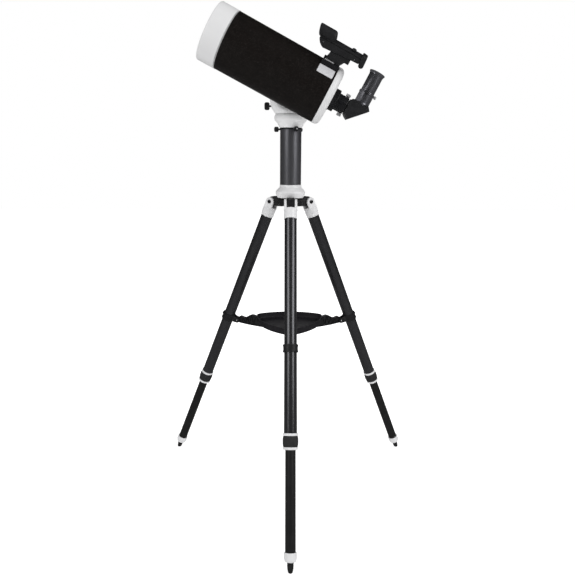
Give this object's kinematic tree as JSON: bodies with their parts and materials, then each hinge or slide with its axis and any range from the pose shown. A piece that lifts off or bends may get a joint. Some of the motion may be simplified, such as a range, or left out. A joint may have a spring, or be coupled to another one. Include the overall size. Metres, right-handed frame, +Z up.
{
  "type": "maksutov telescope",
  "caption": "Compact closed-tube telescope with diagonal and eyepiece, hung beside a single-arm alt-azimuth head on a short pier and a folding tripod with a tray.",
  "frame": {"origin": "on the floor, under the middle of the whole object's box at rest; the azimuth axis, which is also the tripod's, stands at y = +0.103", "axes": "+Z up, parallel to the azimuth axis; the front leg points along -Y; the optical tube hangs on the -Y side of the head and looks towards -X and up; +X is towards the eyepiece"},
  "size_m": [0.7406, 0.6463, 1.3047],
  "materials": {
    "black_tube": "gloss",
    "white_paint": "satin",
    "grey_pier": "satin",
    "black_anodised": "satin",
    "black_plastic": "satin",
    "rubber": "matte",
    "steel": "polished",
    "glass": "polished",
    "mirror": "polished"
  },
  "bodies": {
    "hub": {"tripod_hub": "white_paint", "hub_spider": "black_plastic", "pier_tube": "grey_pier", "azimuth_base": "white_paint"},
    "mount": {"mount_body": "white_paint"},
    "azimuth_lock": {"azimuth_lock_knob": "black_plastic"},
    "altitude_lock": {"altitude_lock_knob": "black_plastic"},
    "saddle": {"saddle": "black_plastic"},
    "saddle_clamp": {"saddle_clamp_knob": "black_plastic"},
    "telescope": {"dovetail_bar": "black_anodised", "optical_tube": "black_tube", "front_ring": "white_paint", "corrector_lens": "glass", "baffle_tube": "black_plastic", "rear_cell": "white_paint", "visual_back": "black_anodised", "finder_bracket": "black_plastic", "finder_body": "black_plastic"},
    "mirror": {"primary_mirror": "mirror"},
    "focuser": {"focus_knob": "rubber"},
    "finder_dial": {"finder_dial": "black_plastic"},
    "diagonal": {"star_diagonal": "black_plastic"},
    "eyepiece": {"eyepiece": "black_anodised"},
    "eyepiece_screw": {"eyepiece_screw": "steel"},
    "back_screw_top": {"visual_back_screw_top": "steel"},
    "back_screw_bottom": {"visual_back_screw_bottom": "steel"},
    "tray": {"accessory_tray": "black_plastic"},
    "pier_screw_1": {"pier_screw_1": "black_plastic"},
    "pier_screw_2": {"pier_screw_2": "black_plastic"},
    "pier_screw_3": {"pier_screw_3": "black_plastic"},
    "leg_front": {"leg_hinge_cap_front": "white_paint", "leg_hinge_bolt_front": "black_anodised", "leg_upper_tube_front": "black_anodised", "lock_body_front": "white_paint", "spreader_clamp_front": "black_plastic"},
    "lower_leg_front": {"leg_lower_tube_front": "black_anodised", "foot_collar_front": "white_paint", "foot_tip_front": "rubber"},
    "lock_grip_front": {"lock_grip_front": "black_plastic"},
    "spreader_front": {"spreader_arm_front": "black_plastic"},
    "leg_right": {"leg_hinge_cap_right": "white_paint", "leg_hinge_bolt_right": "black_anodised", "leg_upper_tube_right": "black_anodised", "lock_body_right": "white_paint", "spreader_clamp_right": "black_plastic"},
    "lower_leg_right": {"leg_lower_tube_right": "black_anodised", "foot_collar_right": "white_paint", "foot_tip_right": "rubber"},
    "lock_grip_right": {"lock_grip_right": "black_plastic"},
    "spreader_right": {"spreader_arm_right": "black_plastic"},
    "leg_left": {"leg_hinge_cap_left": "white_paint", "leg_hinge_bolt_left": "black_anodised", "leg_upper_tube_left": "black_anodised", "lock_body_left": "white_paint", "spreader_clamp_left": "black_plastic"},
    "lower_leg_left": {"leg_lower_tube_left": "black_anodised", "foot_collar_left": "white_paint", "foot_tip_left": "rubber"},
    "lock_grip_left": {"lock_grip_left": "black_plastic"},
    "spreader_left": {"spreader_arm_left": "black_plastic"}
  },
  "joints": [
    {"name": "azimuth", "type": "hinge", "parent": "hub", "child": "mount", "pos_m": [0, 0.103, 1.0608], "axis": [0, 0, 1], "continuous": true},
    {"name": "altitude", "type": "hinge", "parent": "mount", "child": "saddle", "pos_m": [0, 0.103, 1.14], "axis": [0, 1, 0], "range_deg": [-32, 62]},
    {"name": "balance_slide", "type": "slide", "parent": "saddle", "child": "telescope", "axis": [-0.8865, 0, 0.4627], "range_m": [-0.035, 0.035]},
    {"name": "diagonal_turn", "type": "hinge", "parent": "telescope", "child": "diagonal", "pos_m": [0, -0.027, 1.14], "axis": [0.8865, 0, -0.4627], "range_deg": [-45, 180]},
    {"name": "eyepiece_slide", "type": "slide", "parent": "diagonal", "child": "eyepiece", "axis": [0.4627, 0, 0.8865], "range_m": [0, 0.02]},
    {"name": "fold_front", "type": "hinge", "parent": "hub", "child": "leg_front", "pos_m": [0, 0.0465, 0.82996], "axis": [1, 0, 0], "range_deg": [0, 7]},
    {"name": "fold_right", "type": "hinge", "parent": "hub", "child": "leg_right", "pos_m": [0.04893, 0.13125, 0.82996], "axis": [-0.5, 0.866, 0], "range_deg": [0, 7]},
    {"name": "fold_left", "type": "hinge", "parent": "hub", "child": "leg_left", "pos_m": [-0.04893, 0.13125, 0.82996], "axis": [-0.5, -0.866, 0], "range_deg": [0, 7]},
    {"name": "leg_extend_front", "type": "slide", "parent": "leg_front", "child": "lower_leg_front", "axis": [0, -0.4019, -0.9157], "range_m": [-0.22, 0.2]},
    {"name": "leg_extend_right", "type": "slide", "parent": "leg_right", "child": "lower_leg_right", "axis": [0.3481, 0.201, -0.9157], "range_m": [-0.22, 0.2]},
    {"name": "leg_extend_left", "type": "slide", "parent": "leg_left", "child": "lower_leg_left", "axis": [-0.3481, 0.201, -0.9157], "range_m": [-0.22, 0.2]},
    {"name": "mirror_focus", "type": "slide", "parent": "telescope", "child": "mirror", "axis": [-0.8865, 0, 0.4627], "range_m": [-0.004, 0.004]},
    {"name": "focus_knob_turn", "type": "hinge", "parent": "telescope", "child": "focuser", "pos_m": [0.09752, 0.016, 1.08911], "axis": [-0.8865, 0, 0.4627], "range_deg": [-725, 725]},
    {"name": "spreader_pin_front", "type": "hinge", "parent": "leg_front", "child": "spreader_front", "pos_m": [0, -0.07234, 0.47215], "axis": [1, 0, 0], "range_deg": [0, 39.1]},
    {"name": "spreader_pin_right", "type": "hinge", "parent": "leg_right", "child": "spreader_right", "pos_m": [0.15185, 0.19067, 0.47215], "axis": [-0.5, 0.866, 0], "range_deg": [0, 39.1]},
    {"name": "spreader_pin_left", "type": "hinge", "parent": "leg_left", "child": "spreader_left", "pos_m": [-0.15185, 0.19067, 0.47215], "axis": [-0.5, -0.866, 0], "range_deg": [0, 39.1]},
    {"name": "tray_lift", "type": "slide", "parent": "hub", "child": "tray", "axis": [0, 0, 1], "range_m": [0, 0.0962]},
    {"name": "turn_altitude_lock", "type": "hinge", "parent": "mount", "child": "altitude_lock", "pos_m": [0, 0.1591, 1.14], "axis": [0, 1, 0], "range_deg": [0, 180]},
    {"name": "turn_azimuth_lock", "type": "hinge", "parent": "mount", "child": "azimuth_lock", "pos_m": [-0.0632, 0.103, 1.0805], "axis": [-1, 0, 0], "range_deg": [0, 180]},
    {"name": "turn_back_screw_bottom", "type": "hinge", "parent": "telescope", "child": "back_screw_bottom", "pos_m": [0.11432, -0.027, 1.05214], "axis": [-0.4627, 0, -0.8865], "range_deg": [0, 360]},
    {"name": "turn_back_screw_top", "type": "hinge", "parent": "telescope", "child": "back_screw_top", "pos_m": [0.13745, -0.027, 1.09646], "axis": [0.4627, 0, 0.8865], "range_deg": [0, 360]},
    {"name": "turn_eyepiece_screw", "type": "hinge", "parent": "diagonal", "child": "eyepiece_screw", "pos_m": [0.19951, -0.027, 1.09217], "axis": [0.8865, 0, -0.4627], "range_deg": [0, 360]},
    {"name": "turn_finder_dial", "type": "hinge", "parent": "telescope", "child": "finder_dial", "pos_m": [0.14047, -0.08945, 1.1887], "axis": [0.4007, -0.5, 0.7678], "range_deg": [0, 270]},
    {"name": "turn_pier_screw_1", "type": "hinge", "parent": "hub", "child": "pier_screw_1", "pos_m": [0.01331, 0.06645, 1.0218], "axis": [0.342, -0.9397, 0], "range_deg": [0, 360]},
    {"name": "turn_pier_screw_2", "type": "hinge", "parent": "hub", "child": "pier_screw_2", "pos_m": [-0.03831, 0.10976, 1.0218], "axis": [-0.9848, 0.1736, 0], "range_deg": [0, 360]},
    {"name": "turn_pier_screw_3", "type": "hinge", "parent": "hub", "child": "pier_screw_3", "pos_m": [0.025, 0.1328, 1.0218], "axis": [0.6428, 0.766, 0], "range_deg": [0, 360]},
    {"name": "turn_saddle_clamp", "type": "hinge", "parent": "saddle", "child": "saddle_clamp", "pos_m": [-0.02267, 0.061, 1.09656], "axis": [-0.4627, 0, -0.8865], "range_deg": [0, 360]},
    {"name": "twist_lock_front", "type": "hinge", "parent": "leg_front", "child": "lock_grip_front", "pos_m": [0, -0.19784, 0.27332], "axis": [0, -0.4019, -0.9157], "range_deg": [0, 90]},
    {"name": "twist_lock_right", "type": "hinge", "parent": "leg_right", "child": "lock_grip_right", "pos_m": [0.26054, 0.25342, 0.27332], "axis": [0.3481, 0.201, -0.9157], "range_deg": [0, 90]},
    {"name": "twist_lock_left", "type": "hinge", "parent": "leg_left", "child": "lock_grip_left", "pos_m": [-0.26054, 0.25342, 0.27332], "axis": [-0.3481, 0.201, -0.9157], "range_deg": [0, 90]}
  ],
  "couplings": [
    {"joint": "fold_right", "follows": "fold_front", "ratio": 1},
    {"joint": "fold_left", "follows": "fold_front", "ratio": 1},
    {"joint": "spreader_pin_front", "follows": "fold_front", "ratio": 5.5718},
    {"joint": "spreader_pin_right", "follows": "fold_front", "ratio": 5.5718},
    {"joint": "spreader_pin_left", "follows": "fold_front", "ratio": 5.5718},
    {"joint": "tray_lift", "follows": "fold_front", "m_per_rad": 0.78651},
    {"joint": "focus_knob_turn", "follows": "mirror_focus", "rad_per_m": 3141.6}
  ]
}
